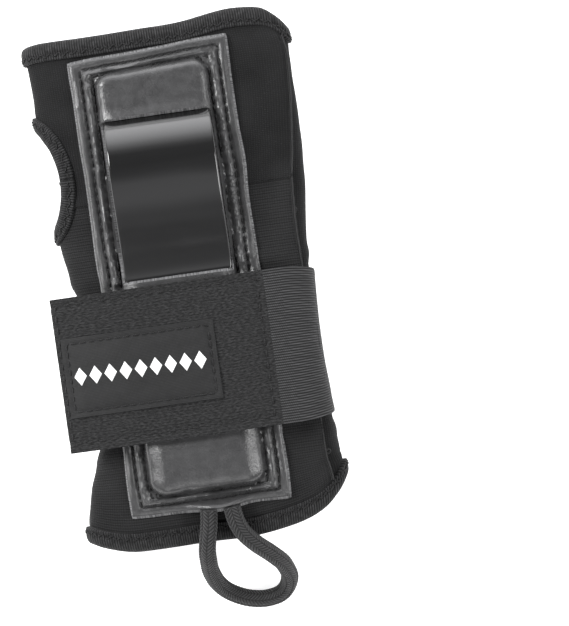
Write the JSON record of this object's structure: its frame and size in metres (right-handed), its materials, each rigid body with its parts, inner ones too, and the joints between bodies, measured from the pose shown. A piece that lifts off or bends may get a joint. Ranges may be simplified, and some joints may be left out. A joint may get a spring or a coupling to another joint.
{
  "type": "wrist guard",
  "caption": "Soft left-hand wrist guard sleeve with a thumb hole, a bowed palm skid plate, a back splint, a wrap-over hook-and-loop strap and a braided pull loop.",
  "frame": {"origin": "on the ground under the middle of the guard, its pull loop left out, with the guard lying on its back", "axes": "+Z out of the palm, +Y along the forearm towards the fingers, +X towards the little-finger side; the thumb side is -X"},
  "size_m": [0.0922, 0.2008, 0.0407],
  "materials": {
    "neoprene": "charcoal jersey-faced neoprene",
    "binding": "black ribbed binding tape, zig-zag stitched",
    "vinyl": "dark grey grained vinyl on foam, raw edges lighter",
    "gloss_abs": "glossy black bent sheet",
    "splint_abs": "black sheet",
    "foam": "closed-cell foam",
    "loop_pile": "fuzzy black loop pile",
    "elastic": "black ribbed elastic webbing",
    "hook": "black hook tape",
    "label": "satin black woven label with plain pale bars",
    "thread": "black thread",
    "cord": "black herringbone braid"
  },
  "bodies": {
    "guard": {"back_panel": "neoprene", "palm_panel_hand": "neoprene", "palm_panel_wrist": "neoprene", "hand_binding": "binding", "forearm_binding": "binding", "thumb_hole_binding": "binding", "palm_pocket_cover": "vinyl", "palm_foam_pad": "foam", "palm_skid_plate": "gloss_abs", "palm_pocket_outer_seam": "thread", "palm_pocket_inner_seam": "thread", "back_pocket_cover": "vinyl", "back_splint": "splint_abs", "back_loop_pad": "loop_pile", "back_pocket_seam": "thread", "strap_back_run": "elastic", "loop_tape": "loop_pile", "pull_loop_cord": "cord"},
    "strap_side": {"strap_side_run": "elastic"},
    "strap_tail": {"strap_palm_run": "elastic", "hook_tape": "hook", "hook_tape_seam": "thread", "strap_label": "label", "label_seam": "thread"}
  },
  "joints": [
    {"name": "strap_side_fold", "type": "hinge", "parent": "guard", "child": "strap_side", "pos_m": [0.0429, -0.026, 0.01865], "axis": [0, 1, 0], "range_deg": [0, 80]},
    {"name": "strap_tail_fold", "type": "hinge", "parent": "strap_side", "child": "strap_tail", "pos_m": [0.03094, -0.026, 0.0366], "axis": [0, 1, 0], "range_deg": [0, 100]}
  ]
}
